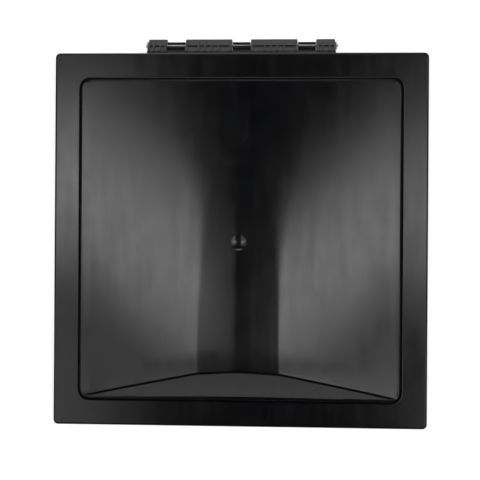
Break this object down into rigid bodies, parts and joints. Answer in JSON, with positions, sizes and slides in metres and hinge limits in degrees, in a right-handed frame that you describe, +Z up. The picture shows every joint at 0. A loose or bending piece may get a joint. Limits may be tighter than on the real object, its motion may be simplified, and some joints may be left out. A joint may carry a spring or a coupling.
{
  "type": "roof vent cover",
  "caption": "Square black moulded roof vent lid with a low vault whose ridge falls to the back, a rod hinge at the back, a lift track and rim seals below.",
  "frame": {"origin": "on the ground under the middle of the closed lid with its hinge", "axes": "+X right, +Y towards the hinge, +Z up out of the lid's outer face"},
  "size_m": [0.394, 0.4126, 0.0626],
  "materials": {
    "lid_gloss": "glossy moulded polypropylene",
    "hinge_matte": "dull moulded polypropylene",
    "slide_matte": "dull moulded nylon",
    "rod_steel": "bright drawn rod",
    "nut_steel": "spring steel",
    "track_steel": "zinc-plated, rolled",
    "screw_steel": "zinc-plated",
    "seal_foam": "closed-cell foam"
  },
  "bodies": {
    "vent_side": {"base_slide": "slide_matte", "lock_screw_left": "screw_steel", "lock_screw_right": "screw_steel"},
    "lid": {"lid_shell": "lid_gloss", "hinge_strip": "hinge_matte", "hinge_rod": "rod_steel", "push_nut_left": "nut_steel", "push_nut_right": "nut_steel", "hinge_screw_1": "screw_steel", "hinge_screw_2": "screw_steel", "hinge_screw_3": "screw_steel", "hinge_screw_4": "screw_steel", "lift_track": "track_steel", "track_screw_1": "screw_steel", "track_screw_2": "screw_steel", "track_screw_3": "screw_steel", "track_screw_4": "screw_steel", "seal_front": "seal_foam", "seal_rear": "seal_foam", "seal_left": "seal_foam", "seal_right": "seal_foam"}
  },
  "joints": [
    {"name": "lid_hinge", "type": "hinge", "parent": "vent_side", "child": "lid", "pos_m": [0, 0.19885, 0.01], "axis": [-1, 0, 0], "range_deg": [0, 80]}
  ]
}
